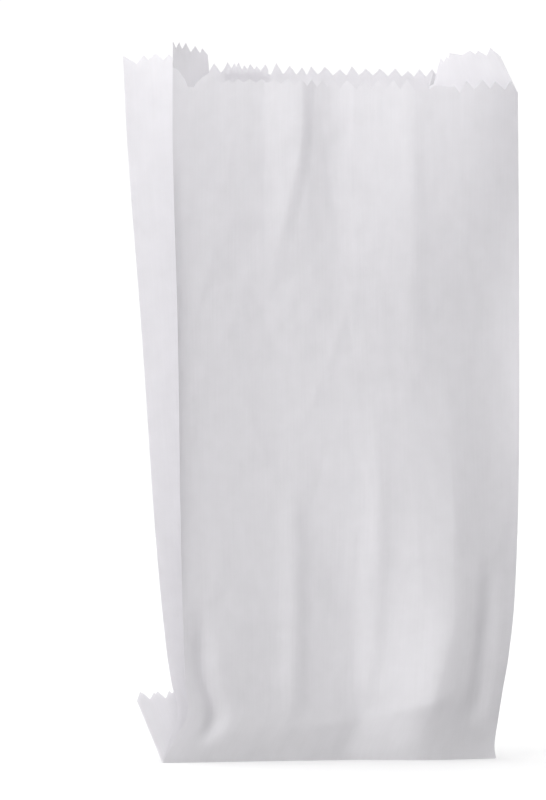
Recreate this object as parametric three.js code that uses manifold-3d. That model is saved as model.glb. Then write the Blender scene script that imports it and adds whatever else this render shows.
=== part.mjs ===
// A plain white paper bag, the flat kind that bread and take-away food are handed over in, opened and
// stood on the folded edge at its bottom. One sheet of thin paper makes all of it: a front, a back, a
// gusset on each side whose halves fold inward, and a bottom end that is folded up behind and glued.
// Every cut edge is a zigzag.
//
// Millimetres, +Z up, +Y to the back. The shape is worked out in a plan whose zero is the top of the
// front left crease, and moved at the end so that the origin is at the middle of the bag's underside.
import * as THREE from 'three';
import { mergeVertices } from 'three/addons/utils/BufferGeometryUtils.js';
import Module from 'manifold-3d';

const wasm = await Module();
wasm.setup();

// Driving dimensions
const wall = 0.8; // drawn thickness of the sheet
const front_width = 150;
const gusset_half = 35; // width of each half of a gusset
const crease_top = 282; // height where the side creases end
const lean = { across: -0.0123, back: -0.0275 }; // for each millimetre up, so the weight is over the fold
const plan_middle = { x: 72.45, y: 8.72 }; // middle of the bag's outline in the plan

// Cut edges: the height of a zigzag's valleys, before its teeth
const tooth = { pitch: 5.66, height: 4 };
const flap_tooth = { pitch: 3.4, height: 2 }; // two layers of teeth half a pitch apart, seen as one row
const front_cut = { height: 264.9, corner_rise: 8, corner_run: 7 }; // a lip, lower than the rest
const back_cut = 271.7;
const left_gusset_cut = { front: 278, middle: 274.5, back: 275.5 };
const right_gusset_cut = { front: 278.5, middle: 272.5, back: 272 };
const flap_cut = 26.5;

// Plan of the bottom fold from left to right: it wanders, so that the bag stands on it
const bottom_fold = [
  new THREE.Vector2(4.8, 20.6),
  new THREE.Vector2(91.4, 17.3),
  new THREE.Vector2(98.5, 8),
  new THREE.Vector2(109.6, 0.5),
  new THREE.Vector2(143.2, 6.6),
];

// Side creases: pairs of a height and the crease's place across the bag there
const left_crease = [
  [0, 4.8], [9, 9.1], [16, 12.8], [22, 13.6], [30, 12],
  [45, 10.4], [90, 7.7], [170, 4.5], [240, 0.9], [282, 0],
];
const right_crease = [
  [0, 143.2], [5, 142.3], [16, 143.6], [28, 145.3], [40, 147.2],
  [63, 149.1], [111, 149.2], [182, 146.9], [282, 142.6],
];
const back_right_inset = 0.4; // the back right crease stands this much inside the front one

// The sides open from the glued bottom upward, quickly at first and then evenly
const opening = { glued: 0.4, at_floor: 14.2, start: 24, left_growth: 0.126, right_growth: 0.113 };
const left_middle = { bottom: 20.6, top: 24 }; // middle of the left side, front to back
const right_front = { bottom: 6.4, top: -14 };
const right_tip = { height: 16, inward: 9.5, forward: 1 }; // its free front corner bends inward
const gusset_middle = { inset: 33, straight_from: 140 }; // the middle creases straighten upward

// Forms of the front, each as far as it stands out forward of the straight line between the side
// creases. Places across the front run from 0 at its left crease to 1 at its right one.
const top_form = [
  [0, 0], [0.12, 0.3], [0.234, 0], [0.326, 0.3], [0.42, -2.2],
  [0.5, -0.4], [0.64, 2.8], [0.8, 4.6], [0.9, 4.2], [1, 0],
];
const middle_form = [
  [0, 0], [0.12, -1], [0.24, -1], [0.4, 0.8], [0.6, 2.4], [0.75, 1.6], [0.9, -0.6], [1, 0],
];
const form_heights = { top_from: 140, top_to: 262, middle_from: 60, middle_full: 130, middle_fade: 180 };
const side_bulge = {
  out: 17, peak: 0.78, fall: 1.4, low_start: 0.54, high_start: 0.25, low: 25, spread: 142, high: 180,
};
const left_recess = { near: 2.6, near_width: 4, far: 2.3, far_width: 16, fade: 150, high: 255 };
const right_recess = { depth: 2.5, width: 7, low: 20, full: 60, fade: 170, high: 240 };
const flutes = [
  { at: 0.335, width: 0.035, out: 1.4, low: 14, full: 30, fade: 70, high: 130 },
  { at: 0.565, width: 0.036, out: 1.8, low: 16, full: 30, fade: 80, high: 150 },
  { at: 0.905, width: 0.036, out: -3.8, low: 10, full: 24, fade: 50, high: 90 },
  { at: 0.68, width: 0.04, out: 1, low: 140, full: 190, fade: 300, high: 320 },
];
const facet = { left: 0.234, right: 0.332, tip: 0.25, out: 2.4, low: 178, high: 255, side: 0.045 };
const tuck = [[0, 7], [0.1, 10], [0.2, 12.7], [0.45, 14.3], [0.63, 18.6], [0.76, 24], [0.88, 26], [1, 16]];
const back_form = { bow: 3, straight_from: 150 }; // above this height the back has lost the fold's wander

// The bottom flap has come unglued at its left end, which leans back and splays out
const flap_lean = { back: 0.62, splay: 4.7, rise: 0.97, free_length: 55, glue: 0.5 };

// Grid steps
const front_rows = 24;
const back_rows = 14;
const gusset_rows = 15;
const flap_rows = 5;
const row_crowding = 1.25; // above 1, the rows crowd towards the bottom
const below_floor = 1; // sheets start this far under the floor, and are cut off level with it
const floor_cut = 400;

const mix = THREE.MathUtils.lerp;
const clamp = THREE.MathUtils.clamp;
const smooth = (from, to, value) => THREE.MathUtils.smoothstep(value, from, to);

// A smooth curve through pairs of numbers, read at any first number
function curve_through(pairs) {
  const slope = (i) => {
    const before = pairs[Math.max(i - 1, 0)];
    const after = pairs[Math.min(i + 1, pairs.length - 1)];
    return (after[1] - before[1]) / (after[0] - before[0]);
  };
  return (value) => {
    let i = 0;
    while (i < pairs.length - 2 && value > pairs[i + 1][0]) i += 1;
    const [from, low] = pairs[i];
    const [to, high] = pairs[i + 1];
    const span = to - from;
    const t = clamp((value - from) / span, 0, 1);
    const turn = t * t * (3 - 2 * t);
    const leaving = t * (1 - t) * (1 - t) * span * slope(i);
    const arriving = t * t * (t - 1) * span * slope(i + 1);
    return mix(low, high, turn) + leaving + arriving;
  };
}

const left_across = curve_through(left_crease);
const right_across = curve_through(right_crease);
const tuck_top = curve_through(tuck);
const top_out = curve_through(top_form);
const middle_out = curve_through(middle_form);

// A point in plan between two others, moved forward of the straight line that joins them
function between(left, right, across, forward) {
  const along = right.clone().sub(left);
  const ahead = new THREE.Vector2(along.y, -along.x).normalize();
  return left.clone().addScaledVector(along, across).addScaledVector(ahead, forward);
}

// How far front and back creases are apart at a side
function side_opening(growth, z) {
  const lets_go = 1 - Math.exp(-Math.max(z, 0) / opening.start);
  return opening.glued + (opening.at_floor + growth * z) * lets_go;
}

const left_opening = (z) => side_opening(opening.left_growth, z);
const right_opening = (z) => side_opening(opening.right_growth, z);

// The four outer creases in plan, at a height
function left_outer(z, side) {
  const middle = mix(left_middle.bottom, left_middle.top, z / crease_top);
  return new THREE.Vector2(left_across(z), middle + (side * left_opening(z)) / 2);
}

const front_left = (z) => left_outer(z, -1);
const back_left = (z) => left_outer(z, 1);

function front_right(z) {
  const front = mix(right_front.bottom, right_front.top, z / crease_top);
  return new THREE.Vector2(right_across(z), front);
}

function back_right(z) {
  const front = front_right(z);
  return new THREE.Vector2(front.x - back_right_inset, front.y + right_opening(z));
}

// How far forward the bottom fold stands of the line between its ends
function fold_bends() {
  const first = bottom_fold[0];
  const along = bottom_fold.at(-1).clone().sub(first);
  const ahead = new THREE.Vector2(along.y, -along.x).normalize();
  return bottom_fold.map((corner) => {
    const step = corner.clone().sub(first);
    return { across: step.dot(along) / along.lengthSq(), forward: step.dot(ahead) };
  });
}

const bends = fold_bends();

function fold_forward(across) {
  const inner = bends.slice(1, -1);
  const found = inner.findIndex((bend) => bend.across >= across);
  const next = found < 0 ? bends.length - 1 : found + 1;
  const from = bends[next - 1];
  const to = bends[next];
  return mix(from.forward, to.forward, (across - from.across) / (to.across - from.across));
}

function flutes_forward(across, z) {
  return flutes.reduce((sum, flute) => {
    const share = smooth(flute.low, flute.full, z) * (1 - smooth(flute.fade, flute.high, z));
    return sum + flute.out * share * Math.exp(-(((across - flute.at) / flute.width) ** 2));
  }, 0);
}

// The long facet under the lip: it rises to a ridge, and narrows to nothing lower down
function facet_forward(across, z) {
  const share = smooth(facet.low, facet.high, z);
  const ridge = mix(facet.tip, facet.right, share);
  const rise = clamp((across - facet.left) / (ridge - facet.left), 0, 1);
  const fall = 1 - smooth(ridge, ridge + facet.side, across);
  return facet.out * share * rise * fall;
}

// The bulge near the right side, whose ridge comes up from a bend of the bottom fold
function side_forward(across, z) {
  const { peak } = side_bulge;
  const out = side_bulge.out * (1 - smooth(side_bulge.low, side_bulge.high, z));
  const widening = smooth(side_bulge.low, side_bulge.spread, z);
  const start = mix(side_bulge.low_start, side_bulge.high_start, widening);
  if (across < peak) return out * smooth(start, peak, across);
  return out * (1 - ((across - peak) / (1 - peak)) ** side_bulge.fall);
}

// Close to the side creases the front falls back behind them
function recess_forward(across, z) {
  const width = front_right(z).distanceTo(front_left(z));
  const from_left = across * width;
  const from_right = width - from_left;
  const spread = left_opening(z) / left_opening(crease_top);
  const near = left_recess.near * (1 - Math.exp(-from_left / left_recess.near_width));
  const far = left_recess.far * (1 - Math.exp(-from_left / left_recess.far_width));
  const left_share = (1 - smooth(left_recess.fade, left_recess.high, z)) * spread * (1 - across) ** 2;
  const right = right_recess.depth * (1 - Math.exp(-from_right / right_recess.width));
  const rising = smooth(right_recess.low, right_recess.full, z);
  const right_share = rising * (1 - smooth(right_recess.fade, right_recess.high, z)) * across ** 2;
  return -(near + far) * left_share - right * right_share;
}

function front_forward(across, z) {
  const heights = form_heights;
  const top_share = smooth(heights.top_from, heights.top_to, z);
  const middle_rise = smooth(heights.middle_from, heights.middle_full, z);
  const middle_share = middle_rise * (1 - smooth(heights.middle_fade, heights.top_to, z));
  const forms = top_out(across) * top_share + middle_out(across) * middle_share;
  const folds = flutes_forward(across, z) + facet_forward(across, z) + recess_forward(across, z);
  const above_tuck = forms + side_forward(across, z) + folds;
  return mix(fold_forward(across), above_tuck, clamp(z / tuck_top(across), 0, 1));
}

function back_forward(across, z) {
  const up = Math.max(z, 0) / crease_top;
  const bow = back_form.bow * Math.sin(Math.PI * across) * Math.sin(Math.PI * up);
  return mix(fold_forward(across), -bow, smooth(0, back_form.straight_from, z));
}

function front_point(across, z) {
  const plan = between(front_left(z), front_right(z), across, front_forward(across, z));
  return new THREE.Vector3(plan.x, plan.y, z);
}

function back_point(across, z) {
  const plan = between(back_left(z), back_right(z), across, back_forward(across, z));
  return new THREE.Vector3(plan.x, plan.y, z);
}

// A gusset's middle crease runs between the front and the back, the width of a half in from the side
function middle_crease(left, z) {
  const width = front_right(z).distanceTo(front_left(z));
  const near = left ? gusset_middle.inset / width : 1 - gusset_middle.inset / width;
  const midway = (front_forward(near, z) + back_forward(near, z)) / 2;
  const forward = midway * (1 - smooth(gusset_middle.straight_from, crease_top, z));
  const half_opening = (left ? left_opening(z) : right_opening(z)) / 2;
  const inward = Math.sqrt(gusset_half ** 2 - half_opening ** 2 - forward ** 2);
  const left_side = front_left(z).lerp(back_left(z), 0.5);
  const right_side = front_right(z).lerp(back_right(z), 0.5);
  return between(left_side, right_side, (left ? inward : width - inward) / width, forward);
}

// The right gusset's front crease, bent inward where the front is cut away from it
function bent_front_right(z) {
  const bend = smooth(crease_top - right_tip.height, crease_top, z);
  const straight = front_right(z);
  return new THREE.Vector2(straight.x - right_tip.inward * bend, straight.y - right_tip.forward * bend);
}

// The flap is the tube's bottom end, folded up behind along the bottom fold
function flap_point(across, up) {
  const foot = between(bottom_fold[0], bottom_fold.at(-1), across, fold_forward(across));
  const loose = 1 - smooth(0, flap_lean.free_length, across * front_width);
  const splay = (flap_lean.splay * up) / flap_cut;
  const glued = back_point(across, up).add(new THREE.Vector3(0, flap_lean.glue, 0));
  const free = new THREE.Vector3(foot.x - splay, foot.y + up * flap_lean.back, up * flap_lean.rise);
  return glued.lerp(free, loose);
}

function as_manifold(positions, faces) {
  const mesh = new wasm.Mesh({
    numProp: 3,
    vertProperties: Float32Array.from(positions),
    triVerts: Uint32Array.from(faces),
  });
  return new wasm.Manifold(mesh);
}

// A closed solid half a wall to each side of an open sheet, with a rim wherever the sheet ends
function thicken(positions, faces) {
  const sheet = new THREE.BufferGeometry();
  sheet.setAttribute('position', new THREE.Float32BufferAttribute(positions, 3));
  sheet.setIndex(faces);
  sheet.computeVertexNormals();
  const normals = sheet.attributes.normal.array;
  const count = positions.length / 3;
  const outside = positions.map((value, i) => value + (normals[i] * wall) / 2);
  const inside = positions.map((value, i) => value - (normals[i] * wall) / 2);
  const solid_faces = [];
  const edges = new Map();
  for (let i = 0; i < faces.length; i += 3) {
    const [a, b, c] = faces.slice(i, i + 3);
    solid_faces.push(a, b, c, c + count, b + count, a + count);
    for (const [from, to] of [[a, b], [b, c], [c, a]]) edges.set(`${from} ${to}`, [from, to]);
  }
  for (const [from, to] of edges.values()) {
    if (!edges.has(`${to} ${from}`)) {
      solid_faces.push(to, from, from + count, to, from + count, to + count);
    }
  }
  return as_manifold([...outside, ...inside], solid_faces);
}

// A sheet over a grid of points, its top edge cut in teeth. cut gives the height of the valleys and
// tooth_at the height of the teeth, at a place across the sheet.
function sheet_solid({ point, cut, tooth_at, columns, rows }) {
  const positions = [];
  const faces = [];
  const corner = (row, column) => row * (columns + 1) + column;
  for (let row = 0; row <= rows; row += 1) {
    for (let column = 0; column <= columns; column += 1) {
      const across = column / columns;
      const z = mix(-below_floor, cut(across), (row / rows) ** row_crowding);
      positions.push(...point(across, z).toArray());
    }
  }
  for (let row = 0; row < rows; row += 1) {
    for (let column = 0; column < columns; column += 1) {
      faces.push(corner(row, column), corner(row, column + 1), corner(row + 1, column + 1));
      faces.push(corner(row, column), corner(row + 1, column + 1), corner(row + 1, column));
    }
  }
  for (let column = 0; column < columns; column += 1) {
    const across = (column + 0.5) / columns;
    const height = tooth_at(across);
    if (height > 0) {
      faces.push(corner(rows, column), corner(rows, column + 1), positions.length / 3);
      positions.push(...point(across, cut(across) + height).toArray());
    }
  }
  return thicken(positions, faces);
}

const teeth_over = (length, pitch) => Math.round(length / pitch);
const full_tooth = () => tooth.height;

function front_solid() {
  const run = (across) => across * front_width;
  const rise = (across) => front_cut.corner_rise * (1 - smooth(0, front_cut.corner_run, run(across)));
  return sheet_solid({
    point: front_point,
    cut: (across) => front_cut.height + rise(across),
    tooth_at: (across) => (run(across) < front_cut.corner_run ? 0 : tooth.height),
    columns: teeth_over(front_width, tooth.pitch),
    rows: front_rows,
  });
}

function back_solid() {
  return sheet_solid({
    point: back_point,
    cut: () => back_cut,
    tooth_at: full_tooth,
    columns: teeth_over(front_width, tooth.pitch),
    rows: back_rows,
  });
}

// Half a gusset, from its outer crease to its middle one
function gusset_solid(left, outer, outer_cut, middle_cut) {
  const point = (across, z) => {
    const plan = outer(z).clone().lerp(middle_crease(left, z), across);
    return new THREE.Vector3(plan.x, plan.y, z);
  };
  return sheet_solid({
    point,
    cut: (across) => mix(outer_cut, middle_cut, across),
    tooth_at: full_tooth,
    columns: teeth_over(gusset_half, tooth.pitch),
    rows: gusset_rows,
  });
}

function flap_solid() {
  return sheet_solid({
    point: flap_point,
    cut: () => flap_cut,
    tooth_at: () => flap_tooth.height,
    columns: teeth_over(front_width, flap_tooth.pitch),
    rows: flap_rows,
  });
}

function under_floor() {
  const box = new THREE.BoxGeometry(floor_cut, floor_cut, floor_cut).translate(0, 0, -floor_cut / 2);
  box.deleteAttribute('normal');
  box.deleteAttribute('uv');
  const merged = mergeVertices(box);
  return as_manifold(merged.attributes.position.array, merged.index.array);
}

function bag_geometry() {
  const panels = [
    front_solid(),
    back_solid(),
    gusset_solid(true, front_left, left_gusset_cut.front, left_gusset_cut.middle),
    gusset_solid(true, back_left, left_gusset_cut.back, left_gusset_cut.middle),
    gusset_solid(false, bent_front_right, right_gusset_cut.front, right_gusset_cut.middle),
    gusset_solid(false, back_right, right_gusset_cut.back, right_gusset_cut.middle),
    flap_solid(),
  ];
  const sheet = panels.reduce((joined, panel) => joined.add(panel));
  const mesh = sheet.subtract(under_floor()).getMesh();
  const geometry = new THREE.BufferGeometry();
  geometry.setAttribute('position', new THREE.Float32BufferAttribute(mesh.vertProperties, 3));
  geometry.setIndex([...mesh.triVerts]);
  geometry.applyMatrix4(new THREE.Matrix4().makeShear(0, 0, 0, 0, lean.across, lean.back));
  geometry.translate(-plan_middle.x, -plan_middle.y, 0);
  geometry.computeVertexNormals();
  return geometry;
}

const white_paper = new THREE.MeshStandardMaterial({ color: 0xf0eff3, roughness: 0.9, metalness: 0 });
const paper_bag = new THREE.Mesh(bag_geometry(), white_paper);
paper_bag.name = 'paper_bag';

const bag = new THREE.Group();
bag.add(paper_bag);

export default bag;
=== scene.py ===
import math

import bpy
import bmesh
import numpy as np
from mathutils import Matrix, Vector


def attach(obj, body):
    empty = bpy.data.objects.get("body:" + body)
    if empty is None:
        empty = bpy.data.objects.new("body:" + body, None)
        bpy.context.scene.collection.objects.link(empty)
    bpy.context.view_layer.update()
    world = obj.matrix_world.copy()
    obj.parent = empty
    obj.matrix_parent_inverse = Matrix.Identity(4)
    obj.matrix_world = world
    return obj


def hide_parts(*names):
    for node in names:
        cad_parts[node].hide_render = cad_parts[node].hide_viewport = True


# The bag's paper skin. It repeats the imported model's plan and adds what thin paper shows: real teeth, the
# long glue seam, two layers of bottom flap, soft crumples and the fibres. Plan numbers are millimetres from
# the top of the front left crease, and are moved to the row frame at the end.
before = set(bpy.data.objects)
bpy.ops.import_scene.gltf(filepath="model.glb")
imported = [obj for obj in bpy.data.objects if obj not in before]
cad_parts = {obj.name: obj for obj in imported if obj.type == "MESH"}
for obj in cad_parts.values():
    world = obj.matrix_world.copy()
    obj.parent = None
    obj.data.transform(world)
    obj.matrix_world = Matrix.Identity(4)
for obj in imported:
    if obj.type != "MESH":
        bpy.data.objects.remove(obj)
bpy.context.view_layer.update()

PLAN_MIDDLE = (72.45, 8.72)
LEAN = (-0.0123, -0.0275)  # across and back for each millimetre up, so the weight is over the fold
PAPER = 0.12  # thickness of the skin
FRONT_WIDTH = 150
GUSSET_HALF = 35
CREASE_TOP = 282

# Where the side creases stand, from the front to the back, at the fold and at the top
LEFT_MIDDLE = (20.6, 24)
FRONT_RIGHT = (6.4, -14)
BACK_RIGHT_SHIFT = -0.4  # the back right crease against the front right one, across

# How far a gusset opens: pressed flat in the fold, it soon lets go, and gains a little more on the way up
OPENING = {"pressed": 0.4, "gap": 14.2, "lets_go_over": 24}
LEFT_GROWTH, RIGHT_GROWTH = 0.126, 0.113

BOTTOM_FOLD = np.array([(4.8, 20.6), (91.4, 17.3), (98.5, 8), (109.6, 0.5), (143.2, 6.6)])
LEFT_CREASE = [
    (0, 4.8), (9, 9.1), (16, 12.8), (22, 13.6), (30, 12),
    (45, 10.4), (90, 7.7), (170, 4.5), (240, 0.9), (282, 0),
]
RIGHT_CREASE = [
    (0, 143.2), (5, 142.3), (16, 143.6), (28, 145.3), (40, 147.2),
    (63, 149.1), (111, 149.2), (182, 146.9), (282, 142.6),
]
TOP_FORM = [
    (0, 0), (0.12, 0.3), (0.262, 0), (0.36, 0.3), (0.465, -2.2),
    (0.53, -0.6), (0.64, 2.8), (0.8, 4.6), (0.9, 4.2), (1, 0),
]
MIDDLE_FORM = [(0, 0), (0.12, -1), (0.24, -1), (0.4, 0.8), (0.6, 2.4), (0.75, 1.6), (0.9, -0.6), (1, 0)]
TUCK = [(0, 7), (0.1, 10), (0.2, 12.7), (0.45, 14.3), (0.63, 18.6), (0.76, 24), (0.88, 26), (1, 16)]
FOLD_ROUNDING = {"reach": 0.075, "from_end": 0.14}

# Forms of the front. Heights and outward distances are in millimetres, places and widths across are shares.
FLUTES = [  # middle, width, out, then the heights where it starts, is full, fades and has gone
    (0.335, 0.035, 1.4, 14, 30, 70, 130),
    (0.565, 0.036, 1.8, 16, 30, 80, 150),
    (0.905, 0.036, -3.8, 10, 24, 50, 90),
    (0.68, 0.04, 1, 140, 190, 300, 320),
]
TROUGH = {"out": -2.8, "low_at": 0.1, "high_at": 0.06, "width": 0.028}
CREASE_STEP = {"out": -1.3, "steep": 1.9, "width": 14}
FACET = {"left": 0.262, "tip": 0.275, "right": 0.366, "out": 2.4, "low": 178, "high": 255, "side": 0.045}
SIDE_BULGE = {
    "out": 17, "low_peak": 0.735, "peak": 0.78, "fall": 1.4, "low_start": 0.54, "high_start": 0.25,
    "low": 25, "spread": 142, "high": 180,
}
LEFT_RECESS = {"near": 2.6, "near_width": 4, "far": 2.3, "far_width": 16, "fade": 150, "high": 255}
RIGHT_RECESS = {"depth": 2.5, "width": 7, "low": 20, "full": 60, "fade": 170, "high": 240}
BACK_BOW = {"out": 3, "from_fold": 150}
GUSSET_MIDDLE = {"from_crease": 33, "settles": 140}  # the fold's bends fade out of the middle crease
RIGHT_TIP = {"from": 264, "inward": 10, "forward": 1}  # the right gusset's corner, bent inward over the front
FLAP = {
    "cut": 26.5, "free_length": 55, "splay": 4.7, "back": 0.62, "rise": 0.97,
    "glue_gap": 0.45, "layer_gap": 0.25, "layer_across": 0.2, "layer_back": 0.3,
}
GUSSET_DENT = 1.15  # how much of the front's dents the gusset half behind it follows


def smooth(start, end, value):
    t = np.clip((value - start) / (end - start), 0, 1)
    return t * t * (3 - 2 * t)


def mix(a, b, t):
    return a + (b - a) * t


def curve_through(pairs):
    """A smooth curve through pairs of numbers, read at any first number."""
    at, value = np.array(pairs, float).T
    ends = np.arange(len(at))
    before, after = np.maximum(ends - 1, 0), np.minimum(ends + 1, len(at) - 1)
    slope = (value[after] - value[before]) / (at[after] - at[before])

    def read(x):
        x = np.asarray(x, float)
        i = np.clip(np.searchsorted(at, x, side="left") - 1, 0, len(at) - 2)
        span = at[i + 1] - at[i]
        t = np.clip((x - at[i]) / span, 0, 1)
        turn = t * t * (3 - 2 * t)
        leaving = t * (1 - t) ** 2 * span * slope[i]
        arriving = t * t * (t - 1) * span * slope[i + 1]
        return mix(value[i], value[i + 1], turn) + leaving + arriving

    return read


left_across = curve_through(LEFT_CREASE)
right_across = curve_through(RIGHT_CREASE)
tuck_top = curve_through(TUCK)
top_out = curve_through(TOP_FORM)
middle_out = curve_through(MIDDLE_FORM)


def stack(x, y):
    x, y = np.broadcast_arrays(x, y)
    return np.stack([x, y], -1)


def between(left, right, across, forward):
    along = right - left
    ahead = stack(along[..., 1], -along[..., 0])
    ahead = ahead / np.linalg.norm(ahead, axis=-1, keepdims=True)
    return left + along * np.asarray(across)[..., None] + ahead * np.asarray(forward)[..., None]


def side_opening(growth, z):
    lets_go = 1 - np.exp(-np.maximum(z, 0) / OPENING["lets_go_over"])
    return OPENING["pressed"] + (OPENING["gap"] + growth * z) * lets_go


def left_opening(z):
    return side_opening(LEFT_GROWTH, z)


def right_opening(z):
    return side_opening(RIGHT_GROWTH, z)


def left_outer(z, side):
    return stack(left_across(z), mix(*LEFT_MIDDLE, z / CREASE_TOP) + side * left_opening(z) / 2)


def front_left(z):
    return left_outer(z, -1)


def back_left(z):
    return left_outer(z, 1)


def front_right(z):
    return stack(right_across(z), mix(*FRONT_RIGHT, z / CREASE_TOP))


def back_right(z):
    return front_right(z) + stack(BACK_RIGHT_SHIFT + 0 * z, right_opening(z))


def front_span(z):
    return np.linalg.norm(front_right(z) - front_left(z), axis=-1)


def fold_bends():
    first, last = BOTTOM_FOLD[0], BOTTOM_FOLD[-1]
    along = last - first
    ahead = np.array([along[1], -along[0]]) / np.linalg.norm(along)
    steps = BOTTOM_FOLD - first
    return steps @ along / (along @ along), steps @ ahead


BENDS = fold_bends()


def fold_forward(across):
    """The fold's bends, rounded over a few millimetres, and kept in place at both ends."""
    ends = FOLD_ROUNDING["from_end"]
    reach = FOLD_ROUNDING["reach"] * smooth(0, ends, across) * smooth(0, ends, 1 - across)
    steps = np.linspace(-1, 1, 7)
    return sum(np.interp(across + reach * step, *BENDS) for step in steps) / len(steps)


def ridge(across, at, width):
    return np.exp(-(((across - at) / width) ** 2))


def flutes_forward(across, z):
    total = 0
    for at, width, out, low, full, fade, high in FLUTES:
        total = total + out * smooth(low, full, z) * (1 - smooth(fade, high, z)) * ridge(across, at, width)
    return total


def trough_forward(across, z):
    """The dent beside the front left crease, just over the fold."""
    share = smooth(6, 16, z) * (1 - smooth(40, 64, z))
    at = mix(TROUGH["low_at"], TROUGH["high_at"], smooth(12, 40, z))
    return TROUGH["out"] * share * ridge(across, at, TROUGH["width"])


def crease_forward(across, z):
    """The sharp little step down from the front left crease."""
    run = across * FRONT_WIDTH
    share = smooth(50, 90, z) * (1 - smooth(200, 262, z))
    step = 1 - np.exp(-run / CREASE_STEP["steep"])
    return CREASE_STEP["out"] * share * step * np.exp(-((run / CREASE_STEP["width"]) ** 2))


def facet_forward(across, z):
    """The long facet under the cut edge: it rises to a crest, and narrows to nothing lower down."""
    share = smooth(FACET["low"], FACET["high"], z)
    crest = mix(FACET["tip"], FACET["right"], share)
    rise = np.clip((across - FACET["left"]) / (crest - FACET["left"]), 0, 1)
    return FACET["out"] * share * rise * (1 - smooth(crest, crest + FACET["side"], across))


def side_forward(across, z):
    """The swelling right side of the front, widest in the middle and gone at the top."""
    side = SIDE_BULGE
    peak = mix(side["low_peak"], side["peak"], smooth(14, 60, z))
    out = side["out"] * (1 - smooth(side["low"], side["high"], z))
    start = mix(side["low_start"], side["high_start"], smooth(side["low"], side["spread"], z))
    fall = 1 - np.clip((across - peak) / (1 - peak), 0, 1) ** side["fall"]
    return out * np.where(across < peak, smooth(start, peak, across), fall)


def recess_forward(across, z):
    """The front falls back next to its side creases, which stand proud of it."""
    width = front_span(z)
    from_left, from_right = across * width, (1 - across) * width
    near, far = LEFT_RECESS["near"], LEFT_RECESS["far"]
    near_fall = 1 - np.exp(-from_left / LEFT_RECESS["near_width"])
    far_fall = 1 - np.exp(-from_left / LEFT_RECESS["far_width"])
    left_fade = 1 - smooth(LEFT_RECESS["fade"], LEFT_RECESS["high"], z)
    left_share = left_fade * left_opening(z) / left_opening(CREASE_TOP) * (1 - across) ** 2
    right_rise = smooth(RIGHT_RECESS["low"], RIGHT_RECESS["full"], z)
    right_fade = 1 - smooth(RIGHT_RECESS["fade"], RIGHT_RECESS["high"], z)
    left = near * near_fall + far * far_fall
    right = RIGHT_RECESS["depth"] * (1 - np.exp(-from_right / RIGHT_RECESS["width"]))
    return -left * left_share - right * (right_rise * right_fade * across ** 2)


def crumple_field(count, width, seed, low, high, size):
    """Soft creases that handling has left in the paper. Each has the place of its middle across and up the
    sheet, its direction, half its length, its width, and how far it stands out."""
    draw = np.random.default_rng(seed)
    creases = []
    for _ in range(count):
        creases.append((
            draw.uniform(0.06, 0.94) * width,
            draw.uniform(low, high),
            math.radians(draw.uniform(35, 145)),
            draw.uniform(9, 34),
            draw.uniform(2, 6.5),
            draw.choice((-1, 1)) * draw.uniform(0.25, 1) * size,
        ))
    return creases


def crumples(field, run, z):
    total = np.zeros(np.broadcast(run, z).shape)
    for at, height, angle, half, width, out in field:
        dx, dz = run - at, z - height
        along = dx * math.cos(angle) + dz * math.sin(angle)
        off = dz * math.cos(angle) - dx * math.sin(angle)
        total = total + out * np.exp(-np.abs(off) / width) * np.exp(-((along / half) ** 2))
    return total


FRONT_CRUMPLES = crumple_field(70, FRONT_WIDTH, 3, 30, 262, 0.42)
BACK_CRUMPLES = crumple_field(70, FRONT_WIDTH, 5, 36, 262, 0.42)
GUSSET_CRUMPLES = [crumple_field(16, GUSSET_HALF, 11 + i, 24, 268, 0.3) for i in range(4)]


def front_details(across, z):
    run = across * FRONT_WIDTH
    fade = smooth(0, 0.06, across) * smooth(0, 0.06, 1 - across) * smooth(6, 40, z)
    return crumples(FRONT_CRUMPLES, run, z) * fade


def front_forward(across, z):
    middle_share = smooth(60, 130, z) * (1 - smooth(180, 262, z))
    forms = top_out(across) * smooth(140, 262, z) + middle_out(across) * middle_share
    folds = flutes_forward(across, z) + facet_forward(across, z) + recess_forward(across, z)
    folds = folds + trough_forward(across, z) + crease_forward(across, z)
    above_tuck = forms + side_forward(across, z) + folds + front_details(across, z)
    return mix(fold_forward(across), above_tuck, np.clip(z / tuck_top(across), 0, 1))


def back_forward(across, z):
    up = np.pi * np.maximum(z, 0) / CREASE_TOP
    bow = BACK_BOW["out"] * np.sin(np.pi * across) * np.sin(up)
    return mix(fold_forward(across), -bow, smooth(0, BACK_BOW["from_fold"], z))


def front_plan(across, z):
    return between(front_left(z), front_right(z), across, front_forward(across, z))


def back_plan(across, z, out=0.0):
    fade = smooth(0, 0.06, across) * smooth(0, 0.06, 1 - across) * smooth(30, 60, z)
    crumpled = crumples(BACK_CRUMPLES, across * FRONT_WIDTH, z) * fade
    return between(back_left(z), back_right(z), across, back_forward(across, z) - crumpled - out)


def middle_crease(left, z):
    width = front_span(z)
    near = GUSSET_MIDDLE["from_crease"] / width
    near = near if left else 1 - near
    midway = (front_forward(near, z) + back_forward(near, z)) / 2
    forward = midway * (1 - smooth(GUSSET_MIDDLE["settles"], CREASE_TOP, z))
    half_opening = (left_opening(z) if left else right_opening(z)) / 2
    inward = np.sqrt(GUSSET_HALF ** 2 - half_opening ** 2 - forward ** 2)
    left_side = (front_left(z) + back_left(z)) / 2
    right_side = (front_right(z) + back_right(z)) / 2
    return between(left_side, right_side, (inward if left else width - inward) / width, forward)


def bent_front_right(z):
    bend = np.clip((z - RIGHT_TIP["from"]) / (CREASE_TOP - RIGHT_TIP["from"]), 0, 1)
    return front_right(z) - stack(RIGHT_TIP["inward"] * bend, RIGHT_TIP["forward"] * bend)


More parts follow.
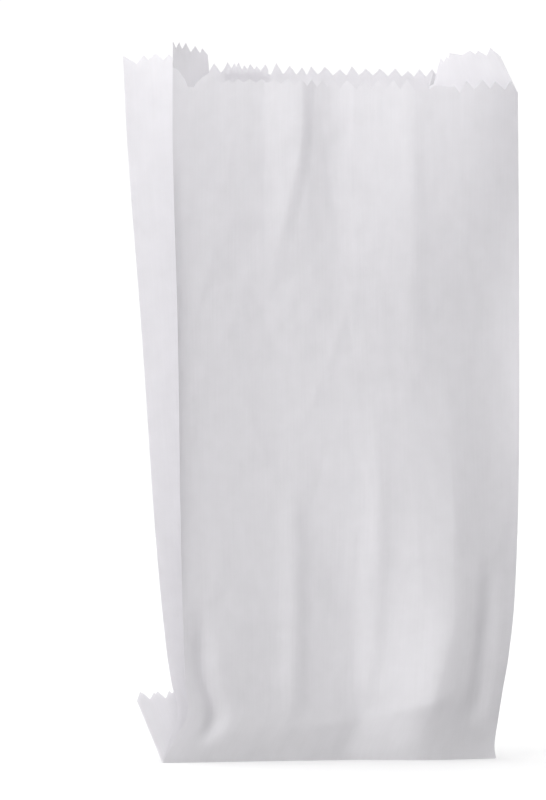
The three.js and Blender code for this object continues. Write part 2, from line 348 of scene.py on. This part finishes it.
def gusset_plan(left, outer, field, dented=False):
    def plan(across, z):
        from_crease, to_crease = outer(z), middle_crease(left, z)
        along = to_crease - from_crease
        ahead = stack(along[..., 1], -along[..., 0])
        ahead = ahead / np.linalg.norm(ahead, axis=-1, keepdims=True)
        fade = np.sin(np.pi * across) * smooth(20, 50, z)
        bump = crumples(field, across * GUSSET_HALF, z) * fade
        if dented:
            on_front = across * GUSSET_HALF / FRONT_WIDTH
            bump = bump + GUSSET_DENT * (trough_forward(on_front, z) + crease_forward(on_front, z))
        return from_crease + along * np.asarray(across)[..., None] + ahead * bump[..., None]
    return plan


def flap_point(across, up, layer):
    foot = between(BOTTOM_FOLD[0], BOTTOM_FOLD[-1], across, fold_forward(across))
    loose = 1 - smooth(0, FLAP["free_length"], across * FRONT_WIDTH)
    glued = back_plan(across, up, FLAP["glue_gap"] - FLAP["layer_gap"] * layer)
    free_across = foot[..., 0] - FLAP["splay"] * up / FLAP["cut"] + FLAP["layer_across"] * layer
    free_back = foot[..., 1] + up * FLAP["back"] - FLAP["layer_back"] * layer
    plan = mix(glued, stack(free_across, free_back), loose[..., None])
    height = up * mix(1, FLAP["rise"], loose)
    return plan, height


# Mesh
LEVELS = np.unique(np.round(np.concatenate([
    [0.1, 0.8], np.arange(2, 30, 1.75), np.arange(30, 262, 2.32), np.arange(262, 284, 2),
]), 4))


class Sheet:
    """Vertices, faces and paper coordinates of every panel, before they are welded."""

    def __init__(self):
        self.points, self.faces, self.paper = [], [], []

    def panel(self, columns, rims, place, paper, flip=False, levels=LEVELS):
        """columns are places across the panel, rims the height of the cut edge at each. place gives plan and
        height, and paper the unfolded sheet's own coordinates."""
        tables = []
        for across, rim in zip(columns, rims):
            heights = np.append(levels[levels < rim - 0.3], rim)
            plan, z = place(np.full(len(heights), across), heights)
            first = len(self.points)
            self.points.extend(zip(plan[:, 0], plan[:, 1], z))
            self.paper.extend(paper(across, h) for h in heights)
            tables.append(list(range(first, first + len(heights))))
        for left, right in zip(tables, tables[1:]):
            shared = min(len(left), len(right)) - 1
            for k in range(shared - 1):
                self.add((left[k], right[k], right[k + 1], left[k + 1]), flip)
            top = [left[shared - 1]] + right[shared - 1:] + left[:shared - 1:-1]
            self.add(tuple(top), flip)

    def add(self, corners, flip):
        self.faces.append(corners[::-1] if flip else corners)


# Cut edges: pairs of a place along the edge and its height, at each valley and peak. About half of the
# pairs are teeth seen in the photo, and the rest are filled in at a like pitch.
FRONT_EDGE = [
    (0, 274), (0.4, 271.7), (2.3, 271), (5.3, 267), (6.5, 264.3), (9.1, 264.3), (9.9, 265.9),
    (12.9, 268.2), (15.8, 270), (18.6, 267.6), (21.1, 266), (24, 267.4), (25.6, 266.2), (28, 267.8),
    (30.4, 266.3), (33, 267.9), (35.8, 266.2), (38.3, 267.9), (41, 266.2), (43.7, 268), (46.2, 266),
    (49, 268.1), (51.7, 265.6), (54.4, 268.1), (57.2, 265.4), (59.8, 268.2), (62.5, 265.2), (65.1, 267.9),
    (67.6, 265), (70, 267.9), (73, 264.8), (75.7, 268), (79.3, 264.5), (82.7, 267.6), (85.6, 264.4),
    (88.5, 268.1), (91.5, 264.4), (94.4, 268.2), (97.2, 264.5), (99.8, 268.7), (103.1, 263.9), (104, 264.3),
    (108.9, 264.4), (111.5, 266.2), (117.5, 265.8), (120.6, 265.9), (122.7, 263), (125.4, 268.3),
    (129.1, 264.6), (132.5, 268.9), (136.2, 265.2), (138.6, 268.3), (143.3, 264.9), (146.1, 268.7),
    (149.6, 264.3), (150, 264.3),
]
BACK_PEAKS = [
    (5, 275.9), (10.6, 275.6), (16.3, 275.9), (22, 276), (27.8, 275.8), (33.5, 276), (39.2, 276.2),
    (45.3, 277.1), (49.7, 276.7), (54.9, 276), (61.5, 276.1), (66.3, 276.6), (72.3, 275.8), (77.5, 275.1),
    (81.5, 275.5), (87.6, 275.7), (94.1, 274.5), (99.4, 275.8), (105.5, 275.1), (111.7, 275.2),
    (118.3, 275.2), (123.9, 274.2), (129, 275), (134.5, 275.2), (139.8, 275), (145.4, 275.4),
]
LEFT_FRONT_EDGE = [
    (0, 281.9), (3.3, 279.5), (6.4, 281.9), (9.3, 279.3), (13, 282.1), (17.7, 278.5), (22.6, 281.1),
    (27.3, 278.5), (29.7, 280.6), (35, 278),
]
LEFT_BACK_EDGE = [
    (0, 278.5), (5.4, 275.2), (8.6, 278.8), (10.3, 276.6), (13.5, 279.3), (16.7, 276.5), (19.1, 278.8),
    (21.2, 276.4), (24.4, 279), (27.6, 276.3), (31, 279.2), (35, 278),
]
RIGHT_FRONT_EDGE = [
    (0, 278.1), (3.1, 281.6), (6.6, 278.6), (10, 280.6), (12, 279.2), (14, 280.8), (18.5, 279.1),
    (24.7, 280.1), (25.6, 277.8), (26.4, 278.9), (28, 276.6), (29.4, 278.2), (31, 274.7), (33, 268),
    (35, 267),
]
RIGHT_BACK_EDGE = [
    (0, 272), (2.9, 276), (5.8, 272.2), (8.7, 275.8), (11.6, 272), (14.5, 276.1), (17.4, 272.3),
    (20.3, 276), (23.2, 272), (26, 275.7), (29, 271.8), (31.5, 273), (33, 270), (35, 267),
]


def even_edge(width, pitch, valley, height, ragged, seed):
    """A zigzag cut edge whose teeth are not quite even."""
    draw = np.random.default_rng(seed)
    teeth = round(width / pitch)
    corners = np.linspace(0, width, 2 * teeth + 1)
    corners[1:-1] += draw.uniform(-0.1, 0.1, 2 * teeth - 1) * pitch
    heights = valley + draw.uniform(-ragged, ragged, 2 * teeth + 1)
    heights[1::2] += height
    return list(zip(corners, heights))


def edge_from_peaks(peaks, valley, ends):
    """A zigzag cut edge through its peaks, with a valley midway between every two of them."""
    edge = [ends[0]]
    for here, following in zip(peaks, peaks[1:]):
        edge += [here, ((here[0] + following[0]) / 2, valley)]
    return edge + [peaks[-1], ends[1]]


CLOSEST_COLUMNS, WIDEST_COLUMNS = 0.3, 1.6


def columns_for(width, *edges):
    """Places of the mesh columns: at each corner of the edges, and in between."""
    corners = sorted({round(float(run), 3) for edge in edges for run, _ in edge} | {0, width})
    kept = [corners[0]]
    for corner in corners[1:]:
        if corner - kept[-1] > CLOSEST_COLUMNS:
            kept.append(corner)
    kept[-1] = width
    places = []
    for start, end in zip(kept, kept[1:]):
        steps = max(1, math.ceil((end - start) / WIDEST_COLUMNS))
        places += [start + (end - start) * step / steps for step in range(steps)]
    return np.array(places + [width]) / width


def rims_for(columns, width, edge):
    run, height = np.array(edge, float).T
    return np.interp(columns * width, run, height)


def flat(plan):
    return lambda across, z: (plan(across, z), z)


TUBE_ROUND = 440  # the tube's way round fills the paper map once
PAPER_SCALE = 1 / TUBE_ROUND


def paper_map(start, width, sign=1):
    return lambda across, z: ((start + sign * across * width) * PAPER_SCALE, 0.1 + z * PAPER_SCALE)


sheet = Sheet()

# Front. The flap is the same sheet, so its columns are the front's.
OUTER_FLAP_EDGE = even_edge(FRONT_WIDTH, 5.4, 25, 3.3, 0.35, 9)
INNER_FLAP_EDGE = even_edge(FRONT_WIDTH, 6.1, 24.9, 3.2, 0.35, 10)
front_columns = columns_for(FRONT_WIDTH, FRONT_EDGE, OUTER_FLAP_EDGE, INNER_FLAP_EDGE)
front_rims = rims_for(front_columns, FRONT_WIDTH, FRONT_EDGE)
sheet.panel(front_columns, front_rims, flat(front_plan), paper_map(0, FRONT_WIDTH))

# Back, in two sheets that overlap in the long glue seam
SEAM = (0.29, 0.42)
SEAM_LIFT = 0.3
INNER_EDGE = edge_from_peaks(BACK_PEAKS, 272, ((0, 278.5), (150, 272)))
OUTER_PEAKS = [(run + 2.8, height - 0.7) for run, height in BACK_PEAKS[:-1]]
OUTER_EDGE = edge_from_peaks(OUTER_PEAKS, 271.6, ((0, 272), (150, 272)))
for index, (run, height) in enumerate(OUTER_EDGE):
    if run > SEAM[1] * FRONT_WIDTH:
        OUTER_EDGE[index] = (run, float(np.interp(run, *np.array(INNER_EDGE).T)))
back_columns = columns_for(FRONT_WIDTH, INNER_EDGE, OUTER_EDGE)
seam_from = int(np.argmin(np.abs(back_columns - SEAM[0])))
seam_to = int(np.argmin(np.abs(back_columns - SEAM[1])))


def inner_back(across, z):
    lift = SEAM_LIFT * smooth(back_columns[seam_from] - 0.05, back_columns[seam_from], across)
    return back_plan(across, z, -lift)


inner_rims = rims_for(back_columns, FRONT_WIDTH, INNER_EDGE)
outer_rims = np.where(back_columns > SEAM[1], inner_rims, rims_for(back_columns, FRONT_WIDTH, OUTER_EDGE))
low_levels = LEVELS[LEVELS > 0.5]
sheet.panel(back_columns[:seam_to + 1], inner_rims[:seam_to + 1], flat(inner_back),
            paper_map(370, FRONT_WIDTH, -1), flip=True, levels=low_levels)
sheet.panel(back_columns[seam_from:], outer_rims[seam_from:], flat(back_plan),
            paper_map(370, FRONT_WIDTH, -1), flip=True, levels=low_levels)

# Gussets: two halves each, which meet in the middle crease
for number, (left, outer, edge, start, sign, flip, levels) in enumerate((
    (True, front_left, LEFT_FRONT_EDGE, 440, -1, True, LEVELS),
    (True, back_left, LEFT_BACK_EDGE, 370, 1, False, low_levels),
    (False, bent_front_right, RIGHT_FRONT_EDGE, 150, 1, False, LEVELS),
    (False, back_right, RIGHT_BACK_EDGE, 220, -1, True, low_levels),
)):
    columns = columns_for(GUSSET_HALF, edge)
    plan = gusset_plan(left, outer, GUSSET_CRUMPLES[number], dented=number == 0)
    sheet.panel(columns, rims_for(columns, GUSSET_HALF, edge), flat(plan),
                paper_map(start, GUSSET_HALF, sign), flip=flip, levels=levels)

# Flap: the front's end folded up behind, and the back's end inside it
FLAP_LEVELS = np.array([0.1, 0.8, 2, 4, 6, 8.5, 11, 13.5, 16, 18.5, 21, 23.5, 26, 28])


def flap_place(layer):
    def place(across, up):
        plan, z = flap_point(across, up, layer)
        if layer == 0:
            at_fold = up < 0.2
            plan[at_fold] = front_plan(across, up)[at_fold]
            z = np.where(at_fold, 0.1, np.maximum(z, 0.1))
        return plan, z
    return place


def flap_paper(across, up):
    return (across * FRONT_WIDTH * PAPER_SCALE, 0.1 - up * PAPER_SCALE)


flap_rims = rims_for(front_columns, FRONT_WIDTH, OUTER_FLAP_EDGE)
sheet.panel(front_columns, flap_rims, flap_place(0), flap_paper, flip=True, levels=FLAP_LEVELS)
flap_rims = rims_for(front_columns, FRONT_WIDTH, INNER_FLAP_EDGE)
sheet.panel(front_columns, flap_rims, flap_place(1), flap_paper, flip=True, levels=FLAP_LEVELS[2:])

# Into Blender
WELD_DISTANCE = 2e-6
SHARP_DEGREES = 38
points = np.array(sheet.points)
points[:, :2] += points[:, 2:] * LEAN - PLAN_MIDDLE
points /= 1000
mesh = bpy.data.meshes.new("paper")
mesh.from_pydata([tuple(p) for p in points], [], sheet.faces)
paper_uv = mesh.uv_layers.new(name="Paper")
corner_points = np.zeros(len(mesh.loops), dtype=np.int32)
mesh.loops.foreach_get("vertex_index", corner_points)
paper_uv.data.foreach_set("uv", np.array(sheet.paper)[corner_points].ravel())
work = bmesh.new()
work.from_mesh(mesh)
bmesh.ops.remove_doubles(work, verts=work.verts, dist=WELD_DISTANCE)
work.to_mesh(mesh)
work.free()
paper_sheet = bpy.data.objects.new("paper_sheet", mesh)
bpy.context.scene.collection.objects.link(paper_sheet)
thicken = paper_sheet.modifiers.new("Thickness", "SOLIDIFY")
thicken.thickness = PAPER / 1000
thicken.offset = 0
skin = bpy.data.meshes.new_from_object(paper_sheet.evaluated_get(bpy.context.evaluated_depsgraph_get()))
paper_sheet.modifiers.clear()
paper_sheet.data = skin
skin.polygons.foreach_set("use_smooth", np.ones(len(skin.polygons), dtype=bool))
skin.set_sharp_from_angle(angle=math.radians(SHARP_DEGREES))


# Materials
def new_material(name, colour):
    material = bpy.data.materials.new(name)
    material.use_nodes = True
    material.diffuse_color = (*colour, 1)
    nodes = material.node_tree.nodes
    nodes.clear()
    return material, nodes, material.node_tree.links


def node(nodes, kind, **values):
    made = nodes.new(kind)
    for key, value in values.items():
        setattr(made, key, value)
    return made


PAPER_WHITE = (0.955, 0.947, 0.965)
material, nodes, links = new_material("white_paper_skin", PAPER_WHITE)
output = node(nodes, "ShaderNodeOutputMaterial")
surface = node(nodes, "ShaderNodeBsdfPrincipled")
surface.inputs["Roughness"].default_value = 0.62
surface.inputs["Specular IOR Level"].default_value = 0.3
through = node(nodes, "ShaderNodeBsdfTranslucent")
both = node(nodes, "ShaderNodeMixShader")
both.inputs[0].default_value = 0.43
links.new(surface.outputs[0], both.inputs[1])
links.new(through.outputs[0], both.inputs[2])
links.new(both.outputs[0], output.inputs[0])

uv = node(nodes, "ShaderNodeUVMap", uv_map="Paper")
in_mm = node(nodes, "ShaderNodeVectorMath", operation="SCALE")
in_mm.inputs["Scale"].default_value = TUBE_ROUND
links.new(uv.outputs[0], in_mm.inputs[0])


def noise(scale_across, scale_up, detail, roughness=0.5):
    stretch = node(nodes, "ShaderNodeMapping")
    stretch.inputs["Scale"].default_value = (scale_across, scale_up, 1)
    links.new(in_mm.outputs[0], stretch.inputs[0])
    made = node(nodes, "ShaderNodeTexNoise")
    made.inputs["Scale"].default_value = 1
    made.inputs["Detail"].default_value = detail
    made.inputs["Roughness"].default_value = roughness
    links.new(stretch.outputs[0], made.inputs["Vector"])
    return made.outputs[0]


def math_node(operation, a, b, clamp=False):
    made = node(nodes, "ShaderNodeMath", operation=operation, use_clamp=clamp)
    for socket, value in zip(made.inputs, (a, b)):
        if isinstance(value, (int, float)):
            socket.default_value = value
        else:
            links.new(value, socket)
    return made.outputs[0]


clouds = noise(0.16, 0.12, 4)  # uneven formation of the sheet, in patches of several millimetres
streaks = noise(1.1, 0.035, 3)  # fine ribs that run up the sheet
fibres = noise(2.6, 2.6, 6, 0.65)
shade = math_node("ADD", math_node("MULTIPLY", clouds, 0.5), math_node("MULTIPLY", streaks, 0.3))
shade = math_node("ADD", shade, math_node("MULTIPLY", fibres, 0.2))
tone = node(nodes, "ShaderNodeValToRGB")
tone.color_ramp.elements[0].position = 0.36
tone.color_ramp.elements[0].color = (*(c * 0.972 for c in PAPER_WHITE), 1)
tone.color_ramp.elements[1].position = 0.64
tone.color_ramp.elements[1].color = (*(min(c * 1.022, 1) for c in PAPER_WHITE), 1)
links.new(shade, tone.inputs[0])
links.new(tone.outputs[0], surface.inputs["Base Color"])
links.new(tone.outputs[0], through.inputs["Color"])

relief = math_node("ADD", math_node("MULTIPLY", fibres, 0.35), math_node("MULTIPLY", streaks, 1.0))
relief = math_node("ADD", relief, math_node("MULTIPLY", clouds, 1.4))
bump = node(nodes, "ShaderNodeBump")
bump.inputs["Strength"].default_value = 0.5
bump.inputs["Distance"].default_value = 0.00006
links.new(relief, bump.inputs["Height"])
links.new(bump.outputs[0], surface.inputs["Normal"])
links.new(bump.outputs[0], through.inputs["Normal"])

skin.materials.clear()
skin.materials.append(material)
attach(paper_sheet, "root")
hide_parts("paper_bag")

# Floor
floor_mesh = bpy.data.meshes.new("floor")
reach = 6
corners = [(-reach, -reach, 0), (reach, -reach, 0), (reach, reach, 0), (-reach, reach, 0)]
floor_mesh.from_pydata(corners, [], [(0, 1, 2, 3)])
floor = bpy.data.objects.new("floor", floor_mesh)
bpy.context.scene.collection.objects.link(floor)
floor_material, nodes, links = new_material("pale_floor", (0.9, 0.9, 0.9))
floor_output = node(nodes, "ShaderNodeOutputMaterial")
floor_surface = node(nodes, "ShaderNodeBsdfPrincipled")
floor_surface.inputs["Base Color"].default_value = (0.93, 0.93, 0.93, 1)
floor_surface.inputs["Roughness"].default_value = 0.9
floor_surface.inputs["Specular IOR Level"].default_value = 0
links.new(floor_surface.outputs[0], floor_output.inputs[0])
floor_mesh.materials.append(floor_material)
floor.visible_diffuse = floor.visible_transmission = False

# Light: an even soft studio, with more from above and behind and from the left
world = bpy.data.worlds.new("studio")
bpy.context.scene.world = world
world.use_nodes = True
nodes, links = world.node_tree.nodes, world.node_tree.links
nodes.clear()
world_output = node(nodes, "ShaderNodeOutputWorld")
seen = node(nodes, "ShaderNodeBackground")
seen.inputs["Color"].default_value = (1, 1, 1, 1)
seen.inputs["Strength"].default_value = 1.05
lit = node(nodes, "ShaderNodeBackground")
lit.inputs["Color"].default_value = (1, 1, 1, 1)
lit.inputs["Strength"].default_value = 0.44
ray = node(nodes, "ShaderNodeLightPath")
choose = node(nodes, "ShaderNodeMixShader")
links.new(ray.outputs["Is Camera Ray"], choose.inputs[0])
links.new(lit.outputs[0], choose.inputs[1])
links.new(seen.outputs[0], choose.inputs[2])
links.new(choose.outputs[0], world_output.inputs[0])


def soft_light(name, azimuth, elevation, share, spread):
    """A wide light from far away. share is its part of a white surface's brightness, face on, and azimuth is
    counted from the front towards the right."""
    data = bpy.data.lights.new(name, "SUN")
    data.energy = share * math.pi
    data.angle = math.radians(spread)
    light = bpy.data.objects.new(name, data)
    turn, rise = math.radians(azimuth), math.radians(elevation)
    toward = Vector((math.sin(turn) * math.cos(rise), -math.cos(turn) * math.cos(rise), math.sin(rise)))
    light.rotation_euler = toward.to_track_quat("Z", "Y").to_euler()
    bpy.context.scene.collection.objects.link(light)


for light_setting in (
    ("top", 0, 88, 0.3, 80),
    ("back", 180, 25, 0.35, 90),
    ("left", -72, 15, 0.64, 90),
    ("front", -20, 10, 0.23, 90),
    ("right", 95, 10, 0.12, 80),
):
    soft_light(*light_setting)

# Camera
camera_data = bpy.data.cameras.new("camera")
camera_data.sensor_width = 36
camera_data.lens = 346.1
camera_data.clip_end = 50
camera = bpy.data.objects.new("camera", camera_data)
camera.location = (-1.25667, -2.76538, 0.130)
camera.rotation_euler = (math.radians(90.238), 0, math.radians(-24))
bpy.context.scene.collection.objects.link(camera)
bpy.context.scene.camera = camera
bpy.context.scene.view_settings.view_transform = "Standard"
